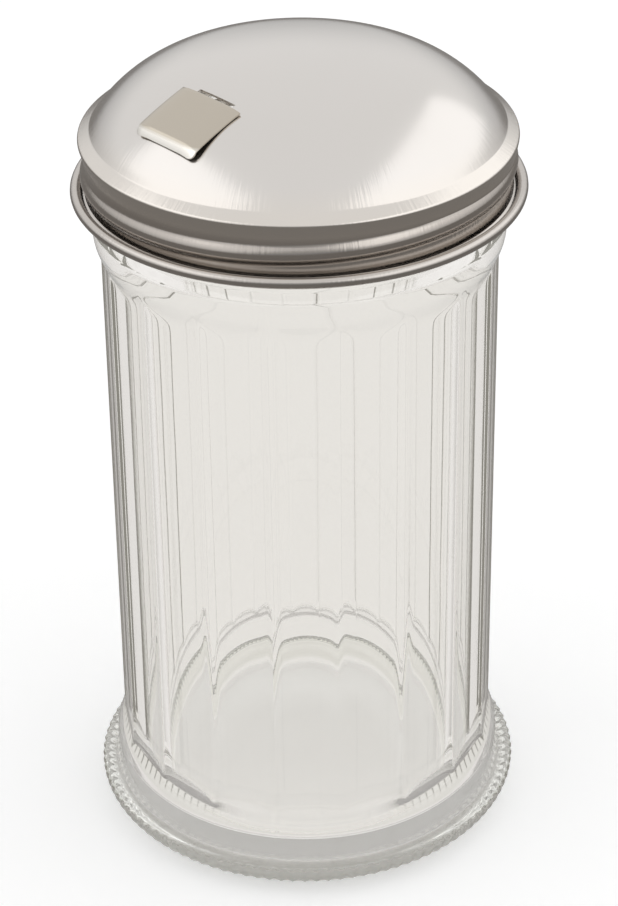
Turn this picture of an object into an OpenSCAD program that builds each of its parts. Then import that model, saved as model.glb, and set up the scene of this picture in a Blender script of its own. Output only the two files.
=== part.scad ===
// Fluted glass sugar pourer with a domed screw lid and a pouring flap that opens by its own weight.
// Millimetres, +Z up. The origin is the middle of the foot, on the surface the jar stands on.
// The flap pours towards -Y.

/* [Jar body] */
// Radius from the axis to the ridges between the flat panels
ridge_r = 34.2; // [33:0.1:36]
// Number of flat panels round the jar
panel_count = 18; // [14:1:22]
// Turn of the ridges, in degrees, from the side that the flap pours to
ridge_turn = -1.6; // [-9:0.2:9]
// Thickness of the glass at the middle of a panel
wall = 3; // [2.4:0.1:3.6]
// Height of the inside floor
floor_z = 7; // [6:0.5:12]
// Rounding between the inside floor and the wall
floor_round = 3; // [2:0.5:10]

/* [Jar foot] */
// How far the heel stands out from the ridges
heel_out = 4.5; // [4.1:0.05:5]
// Height of the heel's flat top
heel_h = 6.2; // [6.2:0.1:7]
// Width of the rounding under the heel, in towards the ring that the jar stands on
heel_round_w = 8; // [5:0.1:8.5]
// Height of that rounding
heel_round_h = 5.4; // [3.5:0.1:5.4]
// Rounding of the heel's top edge
heel_edge = 0.7; // [0.5:0.1:0.8]
// Width of the ring that the jar stands on
bearing_w = 2; // [1.5:0.1:4]
// Depth of the hollow under the base
push_up = 1.5; // [0.5:0.1:3]
// Ribs round the heel
rib_count = 108; // [72:4:120]
// How far a rib stands out from the heel
rib_h = 0.25; // [0.15:0.05:0.5]
// Width of a rib along the heel
rib_w = 1.1; // [0.8:0.1:1.4]
// How far the round band above the heel stands out from the ridges, at its foot
band_out = 1.95; // [1.8:0.05:2.4]
// The same at the band's top
band_top_out = 1.55; // [0.9:0.05:1.7]
// Height of the band's top
band_top_z = 11.4; // [10:0.1:19]
// Height of the flare from the band in to the panels
foot_flare_h = 7.6; // [5:0.1:9]

/* [Jar collar and neck] */
// Height where the panels begin to flare into the collar
collar_flare_z = 108.6; // [95:0.1:115]
// Height of that flare
collar_flare_h = 7.9; // [6:0.1:10]
// Height of the collar's straight side
collar_h = 2.2; // [1.5:0.1:4]
// How far the collar stands out from the ridges
collar_out = 1.25; // [1:0.05:1.4]
// Rounding of the collar's top edge
collar_edge = 0.8; // [0.4:0.1:1]
// How far the neck is set in from the ridges
neck_in = 0; // [0:0.1:0.6]
// Height of the slope from the collar in to the neck
neck_slope_h = 1.6; // [1.2:0.1:2.2]
// Rounding of the jar's lip
lip_round = 1.2; // [0.8:0.1:1.5]
// Gap between the lip and the inside of the dome
seat_gap = 0.3; // [0.2:0.05:0.5]

/* [Screw thread] */
// Rise of the thread in one turn
thread_pitch = 5.1; // [4.6:0.1:5.6]
// Turn of the thread from end to end, in degrees
thread_sweep = 375; // [300:5:400]
// Direction in which the thread begins, in degrees from +X
thread_start = 57; // [0:1:90]
// Height of the thread's lower end above the lid's rim
thread_rise = 2; // [1.5:0.05:2.1]
// How far the glass thread stands out from the neck
thread_out = 1.4; // [1:0.05:1.6]
// Width of the glass thread at its foot
thread_w = 2.2; // [1.6:0.1:2.6]
// Gap between the glass thread and the lid's plain wall
thread_gap = 0.4; // [0.25:0.05:0.6]
// How far the rolled thread stands out from the lid's plain wall
roll_out = 0.7; // [0.5:0.05:0.9]
// Width of the rolled thread at its foot
roll_w = 3; // [2.6:0.1:3.4]

/* [Lid] */
// Thickness of the lid's sheet
sheet = 0.45; // [0.35:0.05:0.6]
// Gap from the collar up to the lid's rim
rim_gap = 4.2; // [3:0.05:5]
// Height of the middle of the edge's rounding above the rim
skirt_h = 10.3; // [9.6:0.05:12]
// How far the lid's edge stands out from the skirt
edge_out = 0.8; // [0.6:0.05:1]
// Rounding of that edge
edge_round = 0.6; // [0.5:0.05:0.9]
// Lean of the wall under the edge, in degrees
edge_lean = 16; // [14:1:24]
// Rounding where that wall meets the skirt
groove_round = 0.5; // [0.3:0.05:0.8]
// Width of the sloping ledge, from the edge in to the dome's foot
ledge_w = 2.05; // [1.6:0.05:2.6]
// Slope of the ledge, in degrees
ledge_slope = 32; // [24:1:40]
// Rounding of the crease between the ledge and the dome
crease_round = 0.9; // [0.4:0.1:1.4]
// Radius of the dome's shoulder, seen in section
shoulder_round = 25.1; // [24.5:0.1:27]
// Radius of the dome's crown, seen in section
crown_round = 100; // [85:1:120]
// Distance from the axis to where the crown meets the shoulder
crown_r = 19.4; // [18:0.1:20]
// Radius of the curled rim's section
curl_round = 0.95; // [0.8:0.05:1.1]
// Distance from the skirt to the middle of the curled rim
curl_out = 1.55; // [1.5:0.05:1.9]
// Rounding where the skirt turns out to the curled rim
skirt_round = 1.2; // [0.8:0.1:1.6]

/* [Pouring flap] */
// Thickness of the flap's sheet
flap_sheet = 0.35; // [0.3:0.05:0.4]
// Width of the flap
flap_w = 14; // [12:0.1:16]
// Length of the flap's plate, from the hinge to the bend
plate_len = 10.2; // [9.6:0.1:10.8]
// Radius that the plate is curved to along its length
plate_round = 75; // [60:1:120]
// Slope of the plate at the hinge, in degrees
plate_slope = 16.5; // [15.5:0.5:18]
// Length of the lip beyond the bend
lip_len = 1.6; // [1:0.1:1.8]
// Bend of the lip down from the plate, in degrees
lip_bend = 30; // [20:1:33]
// Rounding inside the bend
bend_round = 0.6; // [0.4:0.1:1]
// Rounding of the flap's two lip corners
flap_corner = 1.3; // [0.8:0.1:2]
// Distance from the lid's edge in to the hinge, along -Y
hinge_in = 17.85; // [17:0.05:18.5]
// Distance from the lid's axis to the flap's centre line, along +X
flap_side = 1.2; // [0:0.1:3]
// Width of the tongue that curls round the bridge
tongue_w = 8; // [6:0.1:8.4]
// Gap between the tongue and each end of its slit
tongue_gap = 0.3; // [0.2:0.05:0.5]
// Radius inside the curled tongue
curl_bore = 0.5; // [0.45:0.01:0.55]
// Turn of the curled tongue round the bridge, in degrees
curl_turn = 230; // [200:5:240]
// Gap between the plate and the dome at the hinge
flap_gap = 0.16; // [0.12:0.01:0.2]
// Distance from the hinge to the plate's shoulders beside the tongue
shoulder_set = 0.3; // [0.25:0.05:0.6]
// Width of the bridge between the slit and the pouring hole
bridge_w = 0.6; // [0.5:0.05:0.65]
// Thickness of the bridge
bridge_t = 0.35; // [0.3:0.05:0.4]
// Gap between the curled tongue and the far side of its slit
slit_gap = 0.2; // [0.15:0.05:0.5]
// Width of the pouring hole
hole_w = 9.6; // [7:0.1:10]
// Length of the pouring hole, outwards from the bridge
hole_len = 7.4; // [5:0.1:7.8]
// Rounding of the pouring hole's corners
hole_corner = 1; // [0.5:0.1:1.5]

/* [Hidden] */
$fn = 96;
overlap = 0.5;      // how far joined shapes run into each other
far = 60;           // longer than any cut has to reach

glass_colour = [0.86, 0.89, 0.88, 0.6];
lid_colour = [0.78, 0.76, 0.74];
flap_colour = [0.70, 0.68, 0.64];

// Jar, from the ridge radius
panel_r = ridge_r * cos(180 / panel_count);
bore_r = panel_r - wall;
core_r = panel_r - 0.5;
heel_r = ridge_r + heel_out;
band_r = ridge_r + band_out;
band_top_r = ridge_r + band_top_out;
collar_r = ridge_r + collar_out;
neck_r = ridge_r - neck_in;
collar_top_z = collar_flare_z + collar_flare_h + collar_h;
neck_z = collar_top_z + neck_slope_h;
bearing_r = heel_r - heel_round_w;
recess_r = bearing_r - bearing_w;
recess_sphere_r = (pow(recess_r, 2) + pow(push_up, 2)) / (2 * push_up);

// Lid, outside faces in section, from the glass thread outwards
rim_z = collar_top_z + rim_gap;
skirt_r = neck_r + thread_out + thread_gap + sheet;
edge_r = skirt_r + edge_out;
edge_c = [edge_r - edge_round, rim_z + skirt_h];
hinge_y = edge_r - hinge_in;

// The ledge runs in from the edge's rounding to the dome's foot
ledge_up = along(90 - ledge_slope);
ledge_end = edge_c + edge_round * ledge_up;
foot_r = edge_r - ledge_w;
foot_z = ledge_end[1] + (ledge_end[0] - foot_r) * tan(ledge_slope);
crown_angle = asin(crown_r / crown_round);
shoulder_cr = (crown_round - shoulder_round) * sin(crown_angle);
shoulder_c = [shoulder_cr, foot_z - sqrt(pow(shoulder_round, 2) - pow(foot_r - shoulder_cr, 2))];
crown_c = [0, shoulder_c[1] - (crown_round - shoulder_round) * cos(crown_angle)];
crease_c = crease_centre();
crease_angle = atan2(crease_c[1] - shoulder_c[1], crease_c[0] - shoulder_c[0]);
curl_c = [skirt_r + curl_out, rim_z + curl_round];
curl_slope = 45;
curl_end = 510;
groove_c = [skirt_r + groove_round, groove_z()];
skirt_turn_c = [skirt_r + skirt_round, skirt_turn_z()];

// The lip's corner lies under the shoulder's inside face, the seat gap away from it
lip_c = [neck_r - lip_round,
         shoulder_c[1] + sqrt(pow(shoulder_round - sheet - seat_gap - lip_round, 2)
                              - pow(neck_r - lip_round - shoulder_c[0], 2))];
lip_z = lip_c[1] + lip_round;

// Hinge, under the dome's outside face
hinge_r = norm([hinge_y, flap_side]);
hinge_depth = curl_bore - flap_gap;
hinge_z = dome_z(hinge_r) - hinge_depth;
side_tilt = atan(dome_slope(hinge_r) * flap_side / hinge_r);
tongue_r = curl_bore + flap_sheet;
slit_w = tongue_w + 2 * tongue_gap;
slit_far = tongue_r + slit_gap;
hinge_slope = atan(dome_slope(hinge_r));
cut_depth = 6;      // how far the cut for the hole reaches down from the hinge
bridge_hold = 1.2;  // how far each end of the bridge runs into the sheet

function along(angle) = [cos(angle), sin(angle)];
function arc(c, r, from, to, step) =
    let (n = max(2, ceil(abs(to - from) / step)))
    [for (i = [0:n]) c + r * along(from + (to - from) * i / n)];

function oval(c, rx, ry, from, to, step) =
    [for (p = arc([0, 0], 1, from, to, step)) c + [rx * p[0], ry * p[1]]];

// Half a cosine wave between two heights
function flare(r0, z0, r1, z1, n = 12) =
    [for (i = [0:n]) [r0 + (r1 - r0) * (1 - cos(180 * i / n)) / 2, z0 + (z1 - z0) * i / n]];

// Height and slope of the dome's outside face
function dome_c(r) = r < crown_r ? crown_c : shoulder_c;
function dome_round(r) = r < crown_r ? crown_round : shoulder_round;
function dome_z(r) = dome_c(r)[1] + sqrt(pow(dome_round(r), 2) - pow(r - dome_c(r)[0], 2));
function dome_slope(r) = (r - dome_c(r)[0]) / (dome_z(r) - dome_c(r)[1]);

// The crease's rounding touches the ledge and the shoulder from outside
function crease_centre() =
    let (from = ledge_end + crease_round * ledge_up - shoulder_c,
         out = along(-ledge_slope),
         reach = shoulder_round + crease_round)
    shoulder_c + from + (sqrt(pow(from * out, 2) - from * from + pow(reach, 2)) - from * out) * out;

// The wall under the lid's edge leans in until the groove's rounding takes it upright
function groove_z() =
    let (from = edge_c + edge_round * along(-edge_lean),
         to_r = skirt_r + groove_round * (1 - cos(edge_lean)))
    from[1] - (from[0] - to_r) / tan(edge_lean) - groove_round * sin(edge_lean);

// The skirt turns out at a slope that runs into the curled rim
function skirt_turn_z() =
    let (inner = curl_round - sheet,
         to = curl_c + inner * along(180 + curl_slope),
         from_r = skirt_r + skirt_round * (1 - cos(curl_slope)))
    to[1] + (to[0] - from_r) * tan(curl_slope) + skirt_round * sin(curl_slope);

// One face of the lid's sheet, d in from the outside face
function lid_face(d) = concat(
    arc(crown_c, crown_round - d, 90, 90 - crown_angle, 1.7),
    arc(shoulder_c, shoulder_round - d, 90 - crown_angle, crease_angle, 3),
    arc(crease_c, crease_round + d, crease_angle + 180, 270 - ledge_slope, 10),
    arc(edge_c, edge_round - d, 90 - ledge_slope, -edge_lean, 10),
    arc(groove_c, groove_round + d, 180 - edge_lean, 180, 8),
    arc(skirt_turn_c, skirt_round + d, 180, 180 + curl_slope, 12),
    arc(curl_c, curl_round - sheet + d, 180 + curl_slope, curl_end, 18));

function backwards(list) = [for (i = [len(list) - 1:-1:0]) list[i]];

// Points of a thread's section at one angle: foot, flanks and crest, sunk into the wall that carries it.
// Its height fades out over the first and last turn_in degrees.
turn_in = 30;
thread_step = 8;
function fade(a) = min(1, (a + 0.01) / turn_in, (thread_sweep - a + 0.01) / turn_in);
function thread_z(a) = rim_z + thread_rise + thread_pitch * a / 360;
function section(wall_r, out, w, a) =
    let (top = wall_r + out * fade(a), foot = wall_r - overlap / 2)
    [[foot, -w / 2], [top - out * 0.35 * fade(a), -w / 3], [top, -w / 8],
     [top, w / 8], [top - out * 0.35 * fade(a), w / 3], [foot, w / 2]];

// A closed sweep of that section along the helix
module helix(wall_r, out, w) {
    steps = ceil(thread_sweep / thread_step);
    rings = [for (i = [0:steps])
        let (a = thread_sweep * i / steps, s = section(wall_r, out, w, a))
        [for (p = s) [p[0] * cos(thread_start + a), p[0] * sin(thread_start + a), thread_z(a) + p[1]]]];
    k = len(rings[0]);
    points = [for (ring = rings) each ring];
    sides = [for (i = [0:steps - 1]) for (j = [0:k - 1])
        let (m = (j + 1) % k)
        each [[i * k + j, i * k + m, (i + 1) * k + j],
              [i * k + m, (i + 1) * k + m, (i + 1) * k + j]]];
    caps = [[for (j = [k - 1:-1:0]) j], [for (j = [0:k - 1]) steps * k + j]];
    polyhedron(points, concat(sides, caps));
}

// The heel's outside in section, grown by the given amount
function heel_side(grow, from) = concat(
    oval([bearing_r, heel_round_h], heel_round_w + grow, heel_round_h + grow, from, 0, 15),
    arc([heel_r - heel_edge, heel_h - heel_edge], heel_edge + grow, 0, 90, 30));

module heel_ribs() {
    rib_angle = 2 * asin(rib_w / 2 / heel_r);
    rib_from = -60;
    for (i = [0:rib_count - 1])
        rotate(i * 360 / rib_count - rib_angle / 2)
            rotate_extrude(angle = rib_angle)
                polygon(concat(heel_side(rib_h, rib_from), [[core_r, heel_h + rib_h], [core_r, heel_h / 2]]));
}

// Everything round on the outside of the jar: heel, band, collar, neck and lip
module jar_round() {
    rotate_extrude()
        polygon(concat(
            [[0, 0]],
            heel_side(0, -90),
            [[band_r, heel_h]],
            flare(band_top_r, band_top_z, core_r, band_top_z + foot_flare_h),
            flare(core_r, collar_flare_z, collar_r, collar_flare_z + collar_flare_h),
            arc([collar_r - collar_edge, collar_top_z - collar_edge], collar_edge, 0, 60, 15),
            [[neck_r, neck_z]],
            arc(lip_c, lip_round, 0, 90, 15),
            [[0, lip_z]]));
}

module jar_panels() {
    bottom = band_top_z;
    top = collar_flare_z + collar_flare_h;
    translate([0, 0, bottom])
        linear_extrude(top - bottom)
            polygon([for (i = [0:panel_count - 1])
                ridge_r * along(ridge_turn - 90 + i * 360 / panel_count)]);
}

module jar_inside() {
    rotate_extrude()
        polygon(concat(
            [[0, floor_z]],
            arc([bore_r - floor_round, floor_z + floor_round], floor_round, -90, 0, 10),
            backwards(arc([bore_r + lip_round, lip_c[1]], lip_round, 90, 180, 15)),
            [[bore_r + lip_round, lip_z + overlap], [0, lip_z + overlap]]));
}

module glass_jar() {
    color(glass_colour)
        difference() {
            union() {
                jar_round();
                jar_panels();
                heel_ribs();
                helix(neck_r, thread_out, thread_w);
            }
            jar_inside();
            translate([0, 0, push_up - recess_sphere_r]) sphere(recess_sphere_r, $fn = 192);
        }
}

// The hinge's own frame: X along the hinge, -Y out over the pouring hole
module at_hinge() {
    translate([flap_side, -hinge_y, hinge_z]) rotate([0, side_tilt, 0]) children();
}

module lid_shell() {
    rotate_extrude() polygon(concat(lid_face(0), backwards(lid_face(sheet))));
}

module rounded_plate(from, to, r) {
    translate([0, 0, -far / 2])
        linear_extrude(far)
            union() {
                translate(from + [r, 0]) square(to - from - [2 * r, 0]);
                translate(from + [0, r]) square(to - from - [0, 2 * r]);
                for (x = [from[0] + r, to[0] - r], y = [from[1] + r, to[1] - r])
                    translate([x, y]) circle(r, $fn = 32);
            }
}

// The same frame, laid on the dome's slope
module on_slope() {
    at_hinge() rotate([hinge_slope, 0, 0]) children();
}

// Pouring hole and slit, with the bridge's place between them open too
module hinge_cut() {
    hole_top = -bridge_w / 2;
    rounded_plate([-hole_w / 2, hole_top - hole_len], [hole_w / 2, hole_top], hole_corner);
    rounded_plate([-slit_w / 2, hole_top - overlap], [slit_w / 2, slit_far], bridge_w / 4);
}

module screw_lid() {
    color(lid_colour)
        union() {
            difference() {
                lid_shell();
                on_slope() intersection() {
                    hinge_cut();
                    translate([-far / 2, -far / 2, -cut_depth]) cube([far, far, far]);
                }
            }
            on_slope() cube([slit_w + 2 * bridge_hold, bridge_w, bridge_t], center = true);
            helix(skirt_r, roll_out, roll_w);
        }
}

// The flap in section: x runs out from the hinge, y runs up
module tongue_section() {
    from = 90 - plate_slope;
    polygon(concat(
        arc([0, 0], tongue_r, from, from + curl_turn, 10),
        backwards(arc([0, 0], curl_bore, from, from + curl_turn, 10))));
}

module plate_section() {
    normal = 90 - plate_slope;
    plate_c = (curl_bore - plate_round) * along(normal);
    plate_end = normal - plate_len / plate_round * 180 / PI;
    bend_c = plate_c + (plate_round - bend_round) * along(plate_end);
    bend_end = plate_end - lip_bend;
    lip = lip_len * along(bend_end - 90);
    function face(d) = let (
        bend = arc(bend_c, bend_round + d, plate_end, bend_end, 6))
        concat(arc(plate_c, plate_round + d, normal, plate_end, 0.8), bend, [bend[len(bend) - 1] + lip]);
    polygon(concat(face(flap_sheet), backwards(face(0))));
}

module along_hinge(width) {
    rotate([90, 0, -90]) linear_extrude(width, center = true) children();
}

module pour_flap() {
    reach = plate_len + (lip_len + bend_round) * cos(lip_bend);
    color(flap_colour)
        at_hinge() union() {
            along_hinge(tongue_w) tongue_section();
            along_hinge(tongue_w) intersection() {
                plate_section();
                square([plate_len / 2, far], center = true);
            }
            intersection() {
                along_hinge(flap_w) plate_section();
                rotate([plate_slope, 0, 0]) union() {
                    rounded_plate([-flap_w / 2, -reach], [flap_w / 2, -shoulder_set - flap_corner], flap_corner);
                    translate([-flap_w / 2, -shoulder_set - plate_len / 2, -far / 2])
                        cube([flap_w, plate_len / 2, far]);
                }
            }
        }
}

glass_jar();
screw_lid();
pour_flap();
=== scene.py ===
# %% [markdown]
# # A glass sugar pourer
# The jar is pressed glass with eighteen flat panels. Its lid is spun stainless sheet, with a flap that hangs
# on a strip of the same sheet. The three pieces stand in the frame that the construction gives, in metres,
# with the flap towards -Y. Everything here is drawn in millimetres and turned to metres by one factor.

# %% Start from the frame
import math

import bpy
import numpy as np
from mathutils import Matrix, Vector


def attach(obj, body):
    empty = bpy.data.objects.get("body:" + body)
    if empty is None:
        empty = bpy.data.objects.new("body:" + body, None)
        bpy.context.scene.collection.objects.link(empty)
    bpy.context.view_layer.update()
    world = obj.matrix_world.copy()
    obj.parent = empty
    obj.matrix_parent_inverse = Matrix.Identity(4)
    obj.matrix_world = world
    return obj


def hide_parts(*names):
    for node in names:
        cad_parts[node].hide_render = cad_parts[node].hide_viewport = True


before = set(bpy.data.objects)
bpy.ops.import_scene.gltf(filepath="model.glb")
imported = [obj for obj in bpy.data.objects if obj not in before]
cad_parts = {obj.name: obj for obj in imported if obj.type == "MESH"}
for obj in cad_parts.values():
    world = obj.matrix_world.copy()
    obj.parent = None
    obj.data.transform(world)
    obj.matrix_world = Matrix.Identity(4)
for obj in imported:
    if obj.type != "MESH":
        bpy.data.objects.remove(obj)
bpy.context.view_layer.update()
MM = 0.001

# %% [markdown]
# ## The camera
# The photograph looks down on the pourer from about thirty degrees, and from 48 degrees round towards the
# flap's right. The camera could be moved by hand until the picture fits, but a place and a lens worked out
# from the photograph's circles give the same view every time. The sensor's width goes to the picture's long
# side, so the focal length in pixels turns straight into millimetres of lens.

# %% Where the camera is
PICTURE_H = 906
FOCAL_PX = 2863
CAMERA_OUT = 442.7
CAMERA_UP = 332.3
CAMERA_AROUND = 48
CAMERA_DOWN = 30.645
CAMERA_ASIDE = 0.138
CAMERA_ROLL = -0.766


def camera_axes():
    """Right, up and back of the camera, in the object's frame."""
    down, aside, roll = (math.radians(a) for a in (CAMERA_DOWN, CAMERA_ASIDE, CAMERA_ROLL))
    ahead = Vector((math.sin(aside) * math.cos(down), math.cos(aside) * math.cos(down), -math.sin(down)))
    right = ahead.cross(Vector((0, 0, 1))).normalized()
    up = right.cross(ahead)
    rolled_right = math.cos(roll) * right + math.sin(roll) * up
    rolled_up = -math.sin(roll) * right + math.cos(roll) * up
    return rolled_right, rolled_up, -ahead


# %% Set the camera
camera_data = bpy.data.cameras.new("camera")
camera_data.lens = FOCAL_PX * camera_data.sensor_width / PICTURE_H
camera = bpy.data.objects.new("camera", camera_data)
bpy.context.scene.collection.objects.link(camera)
around = Matrix.Rotation(math.radians(CAMERA_AROUND), 4, "Z")
stand = Matrix.Translation(Vector((0, -CAMERA_OUT, CAMERA_UP)) * MM)
facing = Matrix([(*axis, 0) for axis in zip(*camera_axes())] + [(0, 0, 0, 1)])
camera.matrix_world = around @ stand @ facing
bpy.context.scene.camera = camera
print("camera lens", round(camera_data.lens, 1), "mm")
print("camera at", [round(v, 3) for v in camera.matrix_world.translation])

# %% [markdown]
# ## Tools for drawing
# A jar and a lid are both turned shapes. They could be built ring by ring, or lathed from a curve. Here each
# starts as an outline, one vertex extruded from point to point up the middle plane, and is then spun about
# the axis, because an outline in millimetres is easy to read and to correct. Its round stretches are arcs,
# worked out from a centre and a radius, so that each curve has a true size.


# %% Angles in degrees
def cos_of(degrees):
    return math.cos(math.radians(degrees))


def sin_of(degrees):
    return math.sin(math.radians(degrees))


def tan_of(degrees):
    return math.tan(math.radians(degrees))


# %% Stretches of an outline
def arc(centre, radius, start, end, count):
    """Points of an arc from start to end degrees, in count steps. A pair of radii makes it an oval."""
    across, upward = radius if isinstance(radius, tuple) else (radius, radius)
    turns = [start + (end - start) * i / count for i in range(count + 1)]
    return [(centre[0] + across * cos_of(turn), centre[1] + upward * sin_of(turn)) for turn in turns]


def straight(start, end, count):
    """Points of a straight stretch, in count steps."""
    return [(start[0] + (end[0] - start[0]) * i / count, start[1] + (end[1] - start[1]) * i / count)
            for i in range(count + 1)]


def swell(start, end, count):
    """An S-shaped stretch between two points, upright at both ends, in count steps."""
    shares = [(1 - math.cos(math.pi * i / count)) / 2 for i in range(count + 1)]
    return [(start[0] + (end[0] - start[0]) * s, start[1] + (end[1] - start[1]) * i / count)
            for i, s in enumerate(shares)]


# %% Draw an outline
SAME_PLACE = 0.0001 * MM


def draw_outline(name, points, turned=0.0):
    """Extrudes one vertex through (radius, height) points. turned is the plane's angle from +X."""
    out = Vector((cos_of(turned), sin_of(turned), 0))
    places = [(out * r + Vector((0, 0, z))) * MM for r, z in points]
    places = places[:1] + [b for a, b in zip(places, places[1:]) if (b - a).length > SAME_PLACE]
    bpy.ops.object.select_all(action="DESELECT")
    bpy.ops.mesh.primitive_plane_add(size=MM)
    piece = bpy.context.object
    piece.name = name
    bpy.ops.object.mode_set(mode="EDIT")
    bpy.ops.mesh.merge(type="CENTER")
    bpy.ops.transform.translate(value=places[0])
    for a, b in zip(places, places[1:]):
        bpy.ops.mesh.extrude_region_move(TRANSFORM_OT_translate={"value": b - a})
    bpy.ops.object.mode_set(mode="OBJECT")
    return piece


# %% Spin an outline
MERGE_WITHIN = 0.001 * MM


def spin_outline(piece, steps):
    """Turns the outline once round the axis with a Screw modifier, and closes the seam and the poles."""
    turn = piece.modifiers.new("turn", "SCREW")
    turn.angle = 2 * math.pi
    turn.steps = turn.render_steps = steps
    turn.use_merge_vertices = True
    turn.merge_threshold = MERGE_WITHIN
    turn.use_normal_calculate = True
    bpy.ops.object.modifier_apply(modifier=turn.name)
    bpy.ops.object.mode_set(mode="EDIT")
    bpy.ops.mesh.select_all(action="SELECT")
    bpy.ops.mesh.remove_doubles(threshold=MERGE_WITHIN)
    bpy.ops.mesh.normals_make_consistent(inside=False)
    bpy.ops.object.mode_set(mode="OBJECT")


# %% Press and report
ON_AXIS = 1e-6


def places_of(piece):
    """Places of the piece's vertices in mm, a row for each."""
    places = np.empty(len(piece.data.vertices) * 3)
    piece.data.vertices.foreach_get("co", places)
    return places.reshape(-1, 3) / MM


def press(piece, rule):
    """Moves every vertex out from the axis to the radius that rule(radius, angle, height) gives, in mm."""
    x, y, z = places_of(piece).T
    radius = np.hypot(x, y)
    angle = np.degrees(np.arctan2(y, x))
    share = rule(radius, angle, z) / np.maximum(radius, ON_AXIS)
    pressed = np.stack([x * share, y * share, z], 1) * MM
    piece.data.vertices.foreach_set("co", pressed.ravel())
    piece.data.update()


def report(piece):
    """Prints how many triangles the piece has, and its size."""
    triangles = sum(len(p.vertices) - 2 for p in piece.data.polygons)
    size = [round(float(v), 2) for v in np.ptp(places_of(piece), axis=0)]
    print(piece.name, triangles, "triangles", size, "mm")


# %% [markdown]
# ## The jar
# The real jar is pressed in an iron mould. Its outline has a heavy rounded heel, a crease, a soft band, a
# straight body, and a collar under the thread. Its inside is smooth and round, with a generous fillet at the
# floor. It could be a cylinder shaped with insets and bevels, but a spun outline keeps every fillet a true
# radius. Inside and outside are one closed skin here, because light has to bend at both.

# %% Heel and the ring it stands on
HEEL_R = 38.7
HEEL_H = 6.2
HEEL_UNDER = (8.0, 5.4)
HEEL_EDGE = 0.7
HEEL_CREASE = 0.35
BAND_R = 36.15
BEARING_R = HEEL_R - HEEL_UNDER[0]
BEARING_W = 2.0
RECESS = 1.5
recess_out = BEARING_R - BEARING_W
recess_ball = (recess_out ** 2 + RECESS ** 2) / (2 * RECESS)
recess_reach = math.degrees(math.asin(recess_out / recess_ball))
heel_outline = (
    arc((0, RECESS - recess_ball), recess_ball, 90, 90 - recess_reach, 6)
    + arc((BEARING_R, HEEL_UNDER[1]), HEEL_UNDER, -90, 0, 14)
    + arc((HEEL_R - HEEL_EDGE, HEEL_H - HEEL_EDGE), HEEL_EDGE, 0, 90, 6)
    + arc((BAND_R + HEEL_CREASE, HEEL_H + HEEL_CREASE), HEEL_CREASE, 270, 180, 4))
print("the jar stands on a ring", round(2 * recess_out, 1), "to", round(2 * BEARING_R, 1), "mm across")

# %% Band, body and the flare to the collar
RIDGE_R = 34.2
PANELS = 18
PANEL_R = RIDGE_R * math.cos(math.pi / PANELS)
CORE_R = PANEL_R - 0.5
BAND_FOOT_Z = HEEL_H + 0.5
BAND_TOP = (35.75, 11.4)
FOOT_FLARE = 7.6
COLLAR_R = 35.45
COLLAR_FLARE_Z = 108.6
COLLAR_FLARE = 7.9
foot_top = BAND_TOP[1] + FOOT_FLARE
body_outline = (
    straight((BAND_R, BAND_FOOT_Z), BAND_TOP, 6)
    + swell(BAND_TOP, (CORE_R, foot_top), 14)
    + straight((CORE_R, foot_top), (CORE_R, COLLAR_FLARE_Z), 8)
    + swell((CORE_R, COLLAR_FLARE_Z), (COLLAR_R, COLLAR_FLARE_Z + COLLAR_FLARE), 16))
print("the turned core under the flats is", round(2 * CORE_R, 2), "mm across")

# %% Collar, neck and mouth
COLLAR_TOP = 118.7
COLLAR_ROUND = 0.8
NECK_R = 34.2
NECK_Z = COLLAR_TOP + 1.6
NECK_CREASE = 0.5
NECK_CREASE_Z = NECK_Z + 0.2
NECK_FOOT_Z = NECK_Z + 0.4
NECK_TOP_Z = 132.0
MOUTH_Z = 135.7
MOUTH_ROUND = 1.2
neck_outline = (
    arc((COLLAR_R - COLLAR_ROUND, COLLAR_TOP - COLLAR_ROUND), COLLAR_ROUND, 0, 60, 5)
    + arc((NECK_R + NECK_CREASE, NECK_CREASE_Z), NECK_CREASE, 240, 180, 4)
    + straight((NECK_R, NECK_FOOT_Z), (NECK_R, NECK_TOP_Z), 34)
    + arc((NECK_R - MOUTH_ROUND, MOUTH_Z - MOUTH_ROUND), MOUTH_ROUND, 0, 90, 6))
print("the mouth is", MOUTH_Z, "mm up")

# %% Inside of the jar
WALL = 3.0
BORE_R = PANEL_R - WALL
FLOOR_Z = 7.0
FLOOR_ROUND = 3.0
bore_outline = (
    arc((BORE_R + MOUTH_ROUND, MOUTH_Z - MOUTH_ROUND), MOUTH_ROUND, 90, 180, 6)
    + straight((BORE_R, MOUTH_Z - MOUTH_ROUND), (BORE_R, FLOOR_Z + FLOOR_ROUND), 10)
    + arc((BORE_R - FLOOR_ROUND, FLOOR_Z + FLOOR_ROUND), FLOOR_ROUND, 0, -90, 12)
    + straight((BORE_R - FLOOR_ROUND, FLOOR_Z), (0, FLOOR_Z), 6))
print("the bore is", round(2 * BORE_R, 1), "mm across")

# %% Spin the jar
RIDGE_TURN = -1.6
COLUMNS = 24
jar_outline = heel_outline + body_outline + neck_outline + bore_outline
jar = draw_outline("glass_jar_body", jar_outline, RIDGE_TURN - 90)
spin_outline(jar, PANELS * COLUMNS)
report(jar)

# %% [markdown]
# ### Flats, seams, ribs and thread
# The mould gives the jar eighteen flats, two thin fins where its halves meet, fine ribs round the heel, and
# a thread. Flats could be cut with a Boolean modifier, but its hard edges don't look like glass. All four
# are pressed into the turned skin by rules instead, one for each. Where a flat lies outside the skin, the
# skin moves out to it, with a soft step between the two, as molten glass leaves one.


# %% Rules for the flats
RIDGE_SOFT = 0.25
RIDGE_SOFT_HALF = 1.6
RIDGE_BEAD = 0.18
BEAD_HALF = 2.4
WORN_RIDGE = 3
WORN_SHARE = 0.4


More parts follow.
